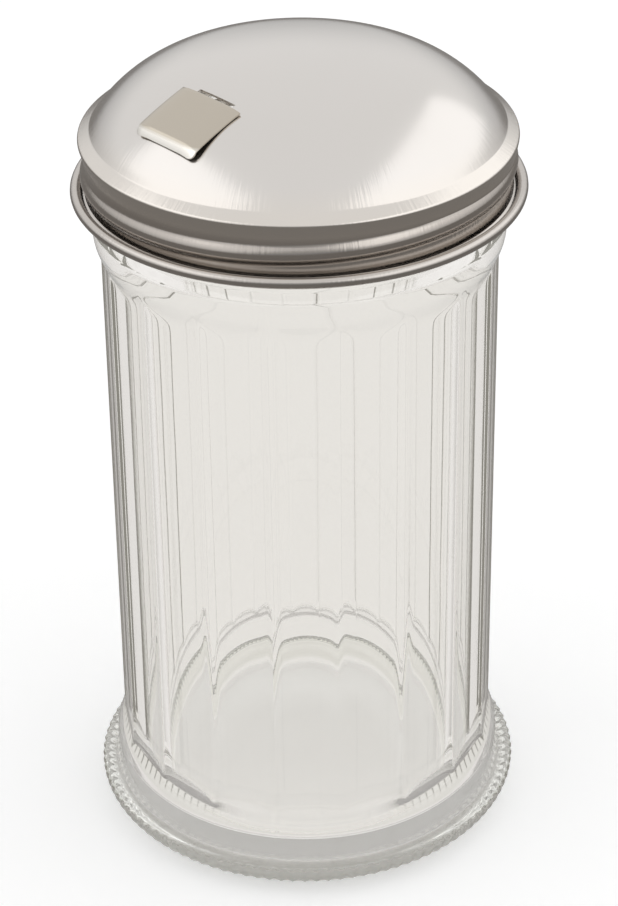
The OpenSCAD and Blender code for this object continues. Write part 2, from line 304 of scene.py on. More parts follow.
def from_first_ridge(angle):
    """Degrees round the jar from the ridge that is nearest to -Y."""
    return angle - RIDGE_TURN + 90


def panel_radius(angle):
    """Radius of the eighteen flats. Each ridge is rounded a little and carries a fire-polished bead."""
    pitch = 360 / PANELS
    off = from_first_ridge(angle) % pitch
    flat = PANEL_R / np.cos(np.radians(off - pitch / 2))
    past = np.minimum(off, pitch - off)
    round_off = np.maximum(0, 1 - past / RIDGE_SOFT_HALF) ** 2 * RIDGE_SOFT * math.sin(math.pi / PANELS)
    worn = np.rint(from_first_ridge(angle) / pitch) % PANELS == WORN_RIDGE
    bead = RIDGE_BEAD * (1 + np.cos(np.pi * np.minimum(past / BEAD_HALF, 1))) / 2
    return flat - round_off + bead * np.where(worn, WORN_SHARE, 1)


def soft_max(a, b, step):
    """The larger of two radii, with a soft step where they meet."""
    return (a + b + np.sqrt((a - b) ** 2 + step ** 2)) / 2


# %% Rule for the mould seams
SEAM_RIDGE = 2
SEAM_H = 0.2
SEAM_HALF = 0.5
SEAM_LOW = HEEL_H + 0.5
SEAM_HIGH = COLLAR_TOP - 1


def seam_height(angle, z):
    """The two fins that the halves of the mould leave down the jar, half a turn apart."""
    off = (from_first_ridge(angle) - SEAM_RIDGE * 360 / PANELS + 90) % 180 - 90
    return SEAM_H * np.exp(-(off / SEAM_HALF) ** 2) * ((z > SEAM_LOW) & (z < SEAM_HIGH))


# %% Rule for the heel's ribs
RIBS = 108
RIB_H = 0.5
RIB_OUT = 0.24
RIB_FOOT = 0.6
RIB_RISE = 1.2
RIB_TOP = HEEL_H - 0.15
RIB_FALL = 0.5
RIB_IN = BAND_R + 0.3


def rib_height(angle, radius, z):
    """A wave round the heel: RIB_H from root to tip, of which RIB_OUT stands out from the turned skin."""
    wave = (1 - np.cos(np.radians(from_first_ridge(angle)) * RIBS)) / 2
    above_foot = np.clip((z - RIB_FOOT) / RIB_RISE, 0, 1)
    below_top = np.clip((RIB_TOP - z) / RIB_FALL, 0, 1)
    return (RIB_H * wave - RIB_H + RIB_OUT) * above_foot * below_top * (radius > RIB_IN)


# %% Rule for a thread
THREAD_START = 57
THREAD_SWEEP = 375
THREAD_Z = 124.3
THREAD_PITCH = 5.1
THREAD_FADE = 30
THREAD_FULLNESS = 0.6
THREAD_TURNS = range(-1, 3)


def thread_height(angle, z, out, half):
    """Bead of a right-handed thread, out proud and half to either side, faded at both ends."""
    total = np.zeros_like(z)
    for turn in THREAD_TURNS:
        along = angle - THREAD_START + 360 * turn
        fade = np.clip(np.minimum(along, THREAD_SWEEP - along) / THREAD_FADE, 0, 1)
        off = (z - THREAD_Z - THREAD_PITCH * along / 360) / half
        bead = np.where(np.abs(off) < 1, (1 + np.cos(np.pi * off)) / 2, 0)
        total = np.maximum(total, out * fade * bead ** THREAD_FULLNESS)
    return total


# %% Press the jar
OUTSIDE_R = 32.5
SOFT_STEP = 0.22
FLATS_LOW = BAND_TOP[1] - 4
FLATS_HIGH = COLLAR_FLARE_Z + COLLAR_FLARE
THREAD_OUT = 1.4
THREAD_HALF = 1.1
THREAD_BELOW = 133


def press_jar(radius, angle, z):
    """Presses the outside only: its vertices lie beyond OUTSIDE_R."""
    outside = radius > OUTSIDE_R
    flats = outside & (z > FLATS_LOW) & (z < FLATS_HIGH)
    pressed = np.where(flats, soft_max(radius, panel_radius(angle), SOFT_STEP), radius)
    pressed += np.where(outside & (z < HEEL_H), rib_height(angle, radius, z), 0)
    pressed += np.where(outside, seam_height(angle, z), 0)
    neck = outside & (z > NECK_Z) & (z < THREAD_BELOW)
    return pressed + np.where(neck, thread_height(angle, z, THREAD_OUT, THREAD_HALF), 0)


press(jar, press_jar)
report(jar)

# %% [markdown]
# ## The lid
# The real lid is one sheet of stainless steel, less than half a millimetre thick: a low dome with a narrow
# ledge round its foot, a groove under the ledge's edge, a rolled thread, and a rim that is curled outwards.
# A single surface with a Solidify modifier would do, but its offset drifts at tight bends. Both faces of the
# sheet are drawn as one outline, down the outside and back up the inside, and spun.

# %% Lid sizes
SHEET = 0.45
THREAD_AIR = 0.4
SKIRT_R = NECK_R + THREAD_OUT + THREAD_AIR + SHEET
RIM_Z = COLLAR_TOP + 4.2
EDGE_R = SKIRT_R + 0.8
EDGE_ROUND = 0.6
EDGE_C = (EDGE_R - EDGE_ROUND, RIM_Z + 10.3)
EDGE_LEAN = 16
LEDGE_W = 2.05
LEDGE_SLOPE = 32
print("lid edge", round(2 * EDGE_R, 2), "mm across,", round(EDGE_C[1], 1), "mm up")

# %% [markdown]
# The dome is two arcs, a flat crown and a rounder shoulder. It ends in a soft crease, from which a ledge
# slopes out to the edge. The crease's centre touches both: it lies one crease radius above the ledge and
# one crease radius outside the shoulder.

# %% Crown and shoulder
CROWN_R = 19.4
CROWN_ROUND = 100
SHOULDER_ROUND = 25.1
crown_angle = math.degrees(math.asin(CROWN_R / CROWN_ROUND))
off_ledge = Vector((sin_of(LEDGE_SLOPE), cos_of(LEDGE_SLOPE)))
ledge_at = Vector(EDGE_C) + EDGE_ROUND * off_ledge
foot_r = EDGE_R - LEDGE_W
foot_z = ledge_at.y + (ledge_at.x - foot_r) * tan_of(LEDGE_SLOPE)
shoulder_in = (CROWN_ROUND - SHOULDER_ROUND) * sin_of(crown_angle)
shoulder_z = foot_z - math.sqrt(SHOULDER_ROUND ** 2 - (foot_r - shoulder_in) ** 2)
SHOULDER_C = Vector((shoulder_in, shoulder_z))
CROWN_C = Vector((0, SHOULDER_C.y - (CROWN_ROUND - SHOULDER_ROUND) * cos_of(crown_angle)))
print("dome top", round(CROWN_C.y + CROWN_ROUND, 2), "foot", round(foot_r, 2), round(foot_z, 2))

# %% Crease
CREASE_ROUND = 0.9
along_ledge = Vector((cos_of(LEDGE_SLOPE), -sin_of(LEDGE_SLOPE)))
from_shoulder = ledge_at + CREASE_ROUND * off_ledge - SHOULDER_C
reach = SHOULDER_ROUND + CREASE_ROUND
on_ledge = from_shoulder.dot(along_ledge)
slide = math.sqrt(on_ledge ** 2 - from_shoulder.dot(from_shoulder) + reach ** 2) - on_ledge
CREASE_C = SHOULDER_C + from_shoulder + slide * along_ledge
crease_angle = math.degrees(math.atan2(CREASE_C.y - SHOULDER_C.y, CREASE_C.x - SHOULDER_C.x))
print("crease centre", [round(v, 2) for v in CREASE_C])

# %% [markdown]
# Under the edge the sheet leans back into the groove, drops straight down the skirt, bends outwards and ends
# in the curled rim. Each straight stretch is tangent to the arcs at its ends, which gives their heights.

# %% Groove
GROOVE_ROUND = 0.5
groove_side_r = EDGE_C[0] + EDGE_ROUND * cos_of(EDGE_LEAN)
groove_side_z = EDGE_C[1] - EDGE_ROUND * sin_of(EDGE_LEAN)
groove_foot = SKIRT_R + GROOVE_ROUND * (1 - cos_of(EDGE_LEAN))
lean_drop = (groove_side_r - groove_foot) / tan_of(EDGE_LEAN)
GROOVE_Z = groove_side_z - lean_drop - GROOVE_ROUND * sin_of(EDGE_LEAN)
print("groove", round(GROOVE_Z, 2), "mm up")

# %% Skirt and curled rim
CURL_ROUND = 0.95
CURL_C = (SKIRT_R + 1.55, RIM_Z + CURL_ROUND)
CURL_SLOPE = 22
CURL_END = 510
SKIRT_ROUND = 0.9
curl_side_r = CURL_C[0] - (CURL_ROUND - SHEET) * cos_of(CURL_SLOPE)
curl_side_z = CURL_C[1] - (CURL_ROUND - SHEET) * sin_of(CURL_SLOPE)
skirt_foot = SKIRT_R + SKIRT_ROUND * (1 - cos_of(CURL_SLOPE))
slope_rise = (curl_side_r - skirt_foot) * tan_of(CURL_SLOPE)
SKIRT_Z = curl_side_z + slope_rise + SKIRT_ROUND * sin_of(CURL_SLOPE)
print("the skirt is straight from", round(GROOVE_Z, 2), "down to", round(SKIRT_Z, 2), "mm")

# %% Spin the lid
LID_STEPS = 384


def lid_face(inset):
    """One face of the sheet, from the dome's middle to the curl's end, inset from the outside face."""
    return (
        arc(CROWN_C, CROWN_ROUND - inset, 90, 90 - crown_angle, 14)
        + arc(SHOULDER_C, SHOULDER_ROUND - inset, 90 - crown_angle, crease_angle, 26)
        + arc(CREASE_C, CREASE_ROUND + inset, crease_angle + 180, 270 - LEDGE_SLOPE, 5)
        + arc(EDGE_C, EDGE_ROUND - inset, 90 - LEDGE_SLOPE, -EDGE_LEAN, 8)
        + arc((SKIRT_R + GROOVE_ROUND, GROOVE_Z), GROOVE_ROUND + inset, 180 - EDGE_LEAN, 180, 3)
        + straight((SKIRT_R - inset, GROOVE_Z), (SKIRT_R - inset, SKIRT_Z), 20)
        + arc((SKIRT_R + SKIRT_ROUND, SKIRT_Z), SKIRT_ROUND + inset, 180, 180 + CURL_SLOPE, 5)
        + arc(CURL_C, CURL_ROUND - SHEET + inset, 180 + CURL_SLOPE, CURL_END, 16))


lid = draw_outline("domed_lid", lid_face(0) + lid_face(SHEET)[::-1])
spin_outline(lid, LID_STEPS)
report(lid)

# %% [markdown]
# ### Rolled thread
# A wheel rolls the thread into the real skirt, so it shows on both faces of the sheet. A swept bead could be
# joined on, but it would leave the inside plain. The rule that made the glass thread moves both faces out
# together here, with a lower and wider bead, so the two threads also climb in step.

# %% Roll the lid's thread
ROLL_OUT = 0.7
ROLL_HALF = 1.8
ROLLED_R = (SKIRT_R - 1, SKIRT_R + 0.3)
ROLLED_Z = (SKIRT_Z - 0.5, GROOVE_Z + 0.8)


def press_lid(radius, angle, z):
    """Rolls the thread into the skirt, and leaves the dome and the curled rim round."""
    skirt = (radius > ROLLED_R[0]) & (radius < ROLLED_R[1]) & (z > ROLLED_Z[0]) & (z < ROLLED_Z[1])
    return radius + np.where(skirt, thread_height(angle, z, ROLL_OUT, ROLL_HALF), 0)


press(lid, press_lid)
report(lid)

# %% [markdown]
# ## Hinge: slit, pouring hole and bridge
# The flap hangs on a narrow strip of the lid, left between a slit and the pouring hole. A press tool shears
# both. They could be cut face by face, but the spun dome has no edges where they fall, so rounded blocks are
# taken out of it with a Boolean modifier, and the strip is laid across as a piece of its own. The blocks lie
# on the dome's slope, in a frame of their own: X along the hinge, -Y out over the hole.

# %% Hinge frame
HINGE_Y = EDGE_R - 17.85
FLAP_SIDE = 1.2
FLAP_GAP = 0.16
CURL_BORE = 0.5
hinge_r = math.hypot(HINGE_Y, FLAP_SIDE)
arc_c, arc_r = (CROWN_C, CROWN_ROUND) if hinge_r < CROWN_R else (SHOULDER_C, SHOULDER_ROUND)
dome_rise = math.sqrt(arc_r ** 2 - (hinge_r - arc_c.x) ** 2)
dome_slope = (hinge_r - arc_c.x) / dome_rise
hinge_z = arc_c.y + dome_rise - (CURL_BORE - FLAP_GAP)
hinge_at = Matrix.Translation(Vector((FLAP_SIDE, -HINGE_Y, hinge_z)) * MM)
hinge = hinge_at @ Matrix.Rotation(math.atan(dome_slope * FLAP_SIDE / hinge_r), 4, "Y")
on_slope = hinge @ Matrix.Rotation(math.atan(dome_slope), 4, "X")
print("hinge at", [round(v / MM, 2) for v in hinge.translation])
print("dome slopes", round(math.degrees(math.atan(dome_slope)), 1), "degrees there")


# %% Rounded block
def block(name, low, high, place, rounding, upright_only=False):
    """A block between two corners in mm, in the given frame, its edges rounded by a bevel."""
    bpy.ops.object.select_all(action="DESELECT")
    bpy.ops.mesh.primitive_cube_add(size=1)
    made = bpy.context.object
    made.name = name
    low, high = Vector(low) * MM, Vector(high) * MM
    bpy.ops.object.mode_set(mode="EDIT")
    bpy.ops.transform.resize(value=high - low)
    bpy.ops.transform.translate(value=(high + low) / 2)
    bpy.ops.mesh.select_all(action="DESELECT")
    bpy.ops.mesh.select_mode(type="EDGE")
    bpy.ops.object.mode_set(mode="OBJECT")
    for edge in made.data.edges:
        a, b = (made.data.vertices[i].co for i in edge.vertices)
        edge.select = not upright_only or abs(a.z - b.z) > SAME_PLACE
    bpy.ops.object.mode_set(mode="EDIT")
    bpy.ops.mesh.bevel(offset=rounding * MM, segments=4, affect="EDGES")
    bpy.ops.mesh.select_mode(type="VERT")
    bpy.ops.object.mode_set(mode="OBJECT")
    made.data.transform(place)
    return made


# %% Cutter
def cut(piece, cutter):
    """Takes the cutter out of the piece with a Boolean modifier."""
    away = piece.modifiers.new("cut", "BOOLEAN")
    away.object = cutter
    away.operation = "DIFFERENCE"
    away.solver = "EXACT"
    bpy.ops.object.select_all(action="DESELECT")
    bpy.context.view_layer.objects.active = piece
    bpy.ops.object.modifier_apply(modifier=away.name)
    bpy.data.objects.remove(cutter)


# %% Cut the pouring hole
BRIDGE_W = 0.6
HOLE_W = 9.6
HOLE_LEN = 7.4
HOLE_CORNER = 1.0
CUT_REACH = 3
hole_low = (-HOLE_W / 2, -BRIDGE_W / 2 - HOLE_LEN, -CUT_REACH)
hole_high = (HOLE_W / 2, -BRIDGE_W / 2, CUT_REACH)
cut(lid, block("hole_cutter", hole_low, hole_high, on_slope, HOLE_CORNER, upright_only=True))
report(lid)

# %% Cut the slit
FLAP_SHEET = 0.35
TONGUE_W = 8.0
SLIT_W = TONGUE_W + 0.6
SLIT_FAR = CURL_BORE + FLAP_SHEET + 0.1
SLIT_NEAR = -BRIDGE_W / 2 - 0.3
SLIT_CORNER = 0.14
slit_low = (-SLIT_W / 2, SLIT_NEAR, -CUT_REACH)
slit_high = (SLIT_W / 2, SLIT_FAR, CUT_REACH)
cut(lid, block("slit_cutter", slit_low, slit_high, on_slope, SLIT_CORNER, upright_only=True))
report(lid)

# %% Lay the bridge
BRIDGE_T = 0.35
BRIDGE_EDGE = 0.08
bridge_end = SLIT_W / 2 + 1.2
bridge_low = (-bridge_end, -BRIDGE_W / 2, -BRIDGE_T / 2)
bridge_high = (bridge_end, BRIDGE_W / 2, BRIDGE_T / 2)
bridge = block("hinge_bridge", bridge_low, bridge_high, on_slope, BRIDGE_EDGE)
report(bridge)

# %% [markdown]
# ## The flap
# A strip of thin stainless sheet: a plate that follows the dome, a lip bent down at its end, and a narrow
# tongue that is curled round the bridge. It could be a thin box that is bent, but bending stretches its
# faces. The strip's section is drawn as a chain instead and extruded across, in strips, so that those beside
# the tongue can be taken away and the plate's sides can be bent down a little, as the photograph shows.

# %% Flap section
PLATE_LEN = 10.2
PLATE_ROUND = 75
PLATE_SLOPE = 16.5
LIP_LEN = 1.6
LIP_BEND = 30
BEND_ROUND = 0.6
SHOULDER_SET = 0.3
CURL_TURN = 230


def point_at(centre, distance, degrees):
    """The point that lies this distance from the centre, in this direction."""
    return centre[0] + distance * cos_of(degrees), centre[1] + distance * sin_of(degrees)


def flap_section():
    """The underside of the strip, as (out, up) from the hinge, from the tongue's end to the lip's edge."""
    upright = 90 - PLATE_SLOPE
    set_turn = math.degrees(SHOULDER_SET / PLATE_ROUND)
    plate_end = upright - math.degrees(PLATE_LEN / PLATE_ROUND)
    plate_c = point_at((0, 0), CURL_BORE - PLATE_ROUND, upright)
    bend_c = point_at(plate_c, PLATE_ROUND - BEND_ROUND, plate_end)
    curl = arc((0, 0), CURL_BORE, upright + CURL_TURN, upright, 22)
    plate = arc(plate_c, PLATE_ROUND, upright - set_turn, plate_end, 10)
    bend = arc(bend_c, BEND_ROUND, plate_end, plate_end - LIP_BEND, 6)
    tip = point_at(bend[-1], LIP_LEN, plate_end - LIP_BEND - 90)
    return curl + plate + bend[1:] + [tip]


section = flap_section()
flap = draw_outline("pouring_flap", section, -90)
print("flap section of", len(section), "points, out to", round(section[-1][0], 2), "mm from the hinge")

# %% Widen the section in strips
FLAP_W = 14.0
SIDE_STRIPS = 2
side_w = (FLAP_W - TONGUE_W) / 2
side_strips = [side_w / SIDE_STRIPS] * SIDE_STRIPS
bpy.ops.object.mode_set(mode="EDIT")
bpy.ops.mesh.select_all(action="SELECT")
bpy.ops.transform.translate(value=Vector((-FLAP_W / 2, 0, 0)) * MM)
for width in side_strips + [TONGUE_W] + side_strips:
    bpy.ops.mesh.extrude_region_move(TRANSFORM_OT_translate={"value": Vector((width, 0, 0)) * MM})
bpy.ops.object.mode_set(mode="OBJECT")
report(flap)

# %% Take the strips beside the tongue away
CURL_REACH = CURL_BORE + 0.25
for polygon in flap.data.polygons:
    corners = [flap.data.vertices[v].co for v in polygon.vertices]
    in_curl = all(math.hypot(corner.y, corner.z) < CURL_REACH * MM for corner in corners)
    polygon.select = in_curl and abs(polygon.center.x) > TONGUE_W / 2 * MM
bpy.ops.object.mode_set(mode="EDIT")
bpy.ops.mesh.select_mode(type="FACE")
bpy.ops.mesh.delete(type="FACE")
bpy.ops.mesh.select_mode(type="VERT")
bpy.ops.mesh.select_all(action="DESELECT")
bpy.ops.object.mode_set(mode="OBJECT")
report(flap)

# %% Round the lip's corners
LIP_CORNER = 1.3
tip_y = -section[-1][0] * MM
for vertex in flap.data.vertices:
    at_tip = abs(vertex.co.y - tip_y) < SAME_PLACE
    vertex.select = at_tip and abs(abs(vertex.co.x) - FLAP_W / 2 * MM) < SAME_PLACE
bpy.ops.object.mode_set(mode="EDIT")
bpy.ops.mesh.bevel(offset=LIP_CORNER * MM, segments=6, affect="VERTICES")
bpy.ops.mesh.select_all(action="SELECT")
bpy.ops.mesh.normals_make_consistent(inside=False)
bpy.ops.object.mode_set(mode="OBJECT")
report(flap)

# %% Bend the sides down and hang the flap
SIDE_DROP = (0.28, 0.5)
for vertex in flap.data.vertices:
    past_tongue = max(0, abs(vertex.co.x) / MM - TONGUE_W / 2) / side_w
    drop = SIDE_DROP[0] + (SIDE_DROP[1] - SIDE_DROP[0]) * max(0, -vertex.co.y / MM) / PLATE_LEN
    vertex.co.z -= drop * past_tongue ** 2 * MM
flap.data.transform(hinge)
print("sides bent down", SIDE_DROP[0], "mm at the hinge,", SIDE_DROP[1], "mm at the lip")

# %% Give the flap its thickness
PLATE_ABOVE = 143.5
SLIVER = 0.1
plate_faces = [p for p in flap.data.polygons if p.center.z > PLATE_ABOVE * MM and p.area > SLIVER * MM * MM]
faces_up = sum(p.normal.z * p.area for p in plate_faces) > 0
solid = flap.modifiers.new("sheet", "SOLIDIFY")
solid.thickness = FLAP_SHEET * MM
solid.offset = 1 if faces_up else -1
solid.use_even_offset = True
bpy.ops.object.modifier_apply(modifier=solid.name)
report(flap)

# %% Break the sheared edges
BROKEN_EDGE = 0.06
EDGE_ANGLE = 50
broken = flap.modifiers.new("broken_edges", "BEVEL")
broken.width = BROKEN_EDGE * MM
broken.segments = 2
broken.limit_method = "ANGLE"
broken.angle_limit = math.radians(EDGE_ANGLE)
bpy.ops.object.modifier_apply(modifier=broken.name)
report(flap)

# %% [markdown]
# ## Finishes
# The jar is clear glass and the rest is bare steel, so their finishes are two kinds of material. Pictures
# could be wrapped round the pieces, but nodes keep every mark at its true size. Colours are written as sRGB
# hex and turned to linear by one function. One helper adds a node, sets it and links it.


# %% Colours and nodes
def linear(code):
    """An sRGB hex colour as the linear values that a shader works in."""
    parts = [int(code[i:i + 2], 16) / 255 for i in (0, 2, 4)]
    return tuple(p / 12.92 if p <= 0.04045 else ((p + 0.055) / 1.055) ** 2.4 for p in parts) + (1,)


def add(tree, kind, inputs=None, **settings):
    """Adds a node. inputs holds a value or another node's socket for each named or numbered input."""
    made = tree.nodes.new("ShaderNode" + kind)
    for name, value in settings.items():
        setattr(made, name, value)
    for key, value in (inputs or {}).items():
        if isinstance(value, bpy.types.NodeSocket):
            tree.links.new(value, made.inputs[key])
        else:
            made.inputs[key].default_value = value
    return made


def new_material(name):
    """An empty material and its node tree."""
    material = bpy.data.materials.new(name)
    material.use_nodes = True
    material.node_tree.nodes.clear()
    return material, material.node_tree


# %% [markdown]
# ### Pressed soda-lime glass
# Fire polished after pressing, so its skin is smooth but never quite true: a faint, slow waviness bends what
# is seen through it. Index 1.52. A noise texture could move the skin itself, but that takes a far finer
# mesh, so a bump does it: one wave in about 11 mm, drawn out along the jar.

# %% Waviness
RIPPLE_W = 100 / 9
RIPPLE_DRAWN = 0.35
RIPPLE_DEPTH = 0.6
glass, tree = new_material("pressed_soda_lime_glass")
glass_at = add(tree, "TexCoord").outputs["Object"]
drawn_out = add(tree, "Mapping", {"Vector": glass_at, "Scale": (1, 1, RIPPLE_DRAWN)}).outputs[0]
waves = add(tree, "TexNoise", {
    "Vector": drawn_out, "Scale": 1 / (RIPPLE_W * MM), "Detail": 1.5, "Roughness": 0.4}).outputs["Fac"]
ripple = add(tree, "Bump", {"Height": waves, "Strength": 0.1, "Distance": RIPPLE_DEPTH * MM}).outputs[0]
print("ripples every", round(RIPPLE_W, 1), "mm round", glass.name)

# %% [markdown]
# The shallow recess under the jar is taken to be stippled, as on most pressed jars, and reads as frosted. It
# could have a material of its own on its own faces. Height and distance from the axis pick it out here, so
# that its edge fades.

# %% Frosted recess
STIPPLE_R = BEARING_R + 0.4
STIPPLE_FADE = 0.3
STIPPLE_Z = (2.4, 1.6)
STIPPLE_ROUGHNESS = 0.5
glass_z = add(tree, "SeparateXYZ", {0: glass_at}).outputs[2]
level = add(tree, "Mapping", {"Vector": glass_at, "Scale": (1, 1, 0)}).outputs[0]
glass_r = add(tree, "VectorMath", {0: level}, operation="LENGTH").outputs["Value"]
near_table = add(tree, "MapRange", {
    "Value": glass_z, "From Min": STIPPLE_Z[0] * MM, "From Max": STIPPLE_Z[1] * MM}).outputs[0]
in_recess = add(tree, "MapRange", {
    "Value": glass_r, "From Min": (STIPPLE_R + STIPPLE_FADE) * MM,
    "From Max": (STIPPLE_R - STIPPLE_FADE) * MM}).outputs[0]
stippled = add(tree, "Math", {0: near_table, 1: in_recess}, operation="MULTIPLY").outputs[0]
glass_rough = add(tree, "Math", {0: stippled, 1: STIPPLE_ROUGHNESS}, operation="MULTIPLY").outputs[0]
print("frosted out to", STIPPLE_R, "mm from the axis")

# %% [markdown]
# The heel is the thickest glass, and soda-lime glass is faintly green grey where it is thick. Absorption
# inside the glass would do the same, but where it varies from place to place an export loses it, so the
# outside of the heel is tinted instead.

# %% Heel tint
THIN_TINT = "FBFBF9"
HEEL_TINT = "E4E5DE"
HEEL_FADE = (HEEL_H + 0.2, HEEL_H - 0.4)
TINTED_R = (32.0, 34.0)
in_heel = add(tree, "MapRange", {
    "Value": glass_z, "From Min": HEEL_FADE[0] * MM, "From Max": HEEL_FADE[1] * MM}).outputs[0]
outer = add(tree, "MapRange", {
    "Value": glass_r, "From Min": TINTED_R[0] * MM, "From Max": TINTED_R[1] * MM}).outputs[0]
thick = add(tree, "Math", {0: in_heel, 1: outer}, operation="MULTIPLY").outputs[0]
tint = add(tree, "ValToRGB", {0: thick})
tint.color_ramp.elements[0].color = linear(THIN_TINT)
tint.color_ramp.elements[1].color = linear(HEEL_TINT)
print("tint", THIN_TINT, "to", HEEL_TINT, "below", HEEL_FADE[0], "mm")

# %% [markdown]
# Light that is caught between the two skins bounces on and on, and the renderer drops it after four
# reflections, which leaves black lines. More bounces would cure that, but they are set outside this script.
# In the real glass the light leaks out as a dim grey, so a ray that has been reflected four times finds that
# grey on the glass, and no other ray does.

# %% Glass shader
TRAPPED_AFTER = 3.5
TRAPPED_GREY = "64625C"
GLASS_INDEX = 1.52
bounces = add(tree, "LightPath").outputs["Glossy Depth"]
trapped = add(tree, "Math", {0: bounces, 1: TRAPPED_AFTER}, operation="GREATER_THAN").outputs[0]
glass_shader = add(tree, "BsdfPrincipled", {
    "Base Color": tint.outputs[0], "Roughness": glass_rough, "IOR": GLASS_INDEX, "Transmission Weight": 1.0,
    "Emission Color": linear(TRAPPED_GREY), "Emission Strength": trapped, "Normal": ripple})
add(tree, "OutputMaterial", {"Surface": glass_shader.outputs[0]})
print(glass.name, "index", GLASS_INDEX)

# %% [markdown]
# ### Spun stainless steel
# Mirror-like sheet with a satin bloom. Spinning and rolling leave fine marks that run down the ledge and the
# skirt. Its colour is painted by height: darker in the groove and down the skirt as painted shade, lighter on
# the face under the edge as a painted highlight, and lighter on the flap's bent lip as a painted highlight.
# The marks could be modelled, but a noise that is squeezed round the axis and drawn out along it gives them
# as a bump. The real marks are finer than the picture can show, so they are drawn half a millimetre wide.

# %% Marks and grain in the sheet
MARK_W = 0.5
MARK_LEN = 9.0
MARKS_FROM = 142
MARKS_FULL = 134
GRAIN_W = 10 / 9
GRAIN_SHARE = 0.03
MARK_DEPTH = 0.09


def sheet_bump(tree, place):
    """A fine grain all over, and rolling marks that fade out up the dome."""
    x, y, height = add(tree, "SeparateXYZ", {0: place}).outputs[:3]
    angle = add(tree, "Math", {0: y, 1: x}, operation="ARCTAN2").outputs[0]
    marks_x = add(tree, "Math", {0: angle, 1: SKIRT_R / MARK_W}, operation="MULTIPLY").outputs[0]
    marks_y = add(tree, "Math", {0: height, 1: 1 / (MARK_LEN * MM)}, operation="MULTIPLY").outputs[0]
    marks_at = add(tree, "CombineXYZ", {0: marks_x, 1: marks_y}).outputs[0]
    marks = add(tree, "TexNoise", {
        "Vector": marks_at, "Scale": 1.0, "Detail": 3.0, "Roughness": 0.6}).outputs["Fac"]
    low_down = add(tree, "MapRange", {
        "Value": height, "From Min": MARKS_FROM * MM, "From Max": MARKS_FULL * MM}).outputs[0]
    mark_height = add(tree, "Math", {0: marks, 1: low_down}, operation="MULTIPLY").outputs[0]
    grain = add(tree, "TexNoise", {"Vector": place, "Scale": 1 / (GRAIN_W * MM), "Detail": 2.0})
    both = add(tree, "Math", {
        0: grain.outputs["Fac"], 1: GRAIN_SHARE, 2: mark_height}, operation="MULTIPLY_ADD").outputs[0]
    return add(tree, "Bump", {"Height": both, "Strength": 0.6, "Distance": MARK_DEPTH * MM}).outputs[0]


# %% Satin bloom and tones
BLOOM_W = 100 / 6
BLOOM_SPREAD = (0.3, 0.7)
BLOOM_ROUGHNESS = (-0.03, 0.04)


def bloom_roughness(tree, place, roughness):
    """Roughness that drifts a little from place to place."""
    bloom = add(tree, "TexNoise", {
        "Vector": place, "Scale": 1 / (BLOOM_W * MM), "Detail": 4.0, "Roughness": 0.6}).outputs["Fac"]
    return add(tree, "MapRange", {
        "Value": bloom, "From Min": BLOOM_SPREAD[0], "From Max": BLOOM_SPREAD[1],
        "To Min": roughness + BLOOM_ROUGHNESS[0], "To Max": roughness + BLOOM_ROUGHNESS[1]}).outputs[0]


def tones_by_height(tree, place, zones):
    """Blends from tone to tone. zones lists (height in mm, hex colour) upwards."""
    height = add(tree, "SeparateXYZ", {0: place}).outputs[2]
    bottom, top = zones[0][0], zones[-1][0]
    share = add(tree, "MapRange", {"Value": height, "From Min": bottom * MM, "From Max": top * MM}).outputs[0]
    ramp = add(tree, "ValToRGB", {0: share})
    stops = ramp.color_ramp.elements
    for _ in zones[2:]:
        stops.new(0.5)
    for stop, (z, code) in zip(stops, zones):
        stop.position = (z - bottom) / (top - bottom)
        stop.color = linear(code)
    return ramp.outputs[0]


# %% Steel for the lid and the flap
def steel_material(name, zones, roughness):
    """Satin steel with the sheet's marks, its bloom, and tones painted by height."""
    material, tree = new_material(name)
    place = add(tree, "TexCoord").outputs["Object"]
    shader = add(tree, "BsdfPrincipled", {
        "Base Color": tones_by_height(tree, place, zones), "Metallic": 1.0,
        "Roughness": bloom_roughness(tree, place, roughness), "Normal": sheet_bump(tree, place)})
    add(tree, "OutputMaterial", {"Surface": shader.outputs[0]})
    print(name, "with", len(zones), "tones, roughness about", roughness)
    return material


# The lid's tones are painted shade and a painted highlight: darker in the groove and down the skirt, lighter
# on the face under the edge.
lid_tones_painted_shade_and_highlight = [(122.5, "C4BFBA"), (126.0, "BDB7B1"), (129.6, "C2BBB4"),
             (131.0, "DAD3CB"), (133.4, "D6D0C9"), (138.0, "D3CFCB")]
lid_steel = steel_material("spun_stainless_steel", lid_tones_painted_shade_and_highlight, roughness=0.19)
# The flap's bent lip is painted lighter than its plate, as a painted highlight.
flap_tones_painted_lip_highlight = [(140.0, "EFEBE4"), (141.3, "EFEBE4"), (141.8, "BCB4A7"), (150.0, "BCB4A7")]
flap_steel = steel_material("stamped_stainless_steel", flap_tones_painted_lip_highlight, roughness=0.24)

# %% Finish the pieces
GLASS_SMOOTH = 60
STEEL_SMOOTH = 40


def finish_piece(piece, material, smooth_angle):
    """Gives the piece its material, and shades it smooth except across edges sharper than smooth_angle."""
    piece.data.materials.clear()
    piece.data.materials.append(material)
    bpy.ops.object.select_all(action="DESELECT")
    piece.select_set(True)
    bpy.context.view_layer.objects.active = piece
    bpy.ops.object.shade_smooth_by_angle(angle=math.radians(smooth_angle))
    print(piece.name, "is finished in", material.name)


finish_piece(jar, glass, GLASS_SMOOTH)
finish_piece(lid, lid_steel, STEEL_SMOOTH)
finish_piece(bridge, lid_steel, STEEL_SMOOTH)
finish_piece(flap, flap_steel, STEEL_SMOOTH)

# %% [markdown]
# ## Stage
# A pale floor, a white world and two soft lamps, as in a small product studio. Glass needs something pale to
# bend and something darker to draw its edges with. Grey cards round the jar would give both, but here rays
# are told apart: the camera sees a white floor with the jar's shadow, rays that come through the glass see
# it a little warmer, and rays that are mirrored in the steel and the glass see a grey one.

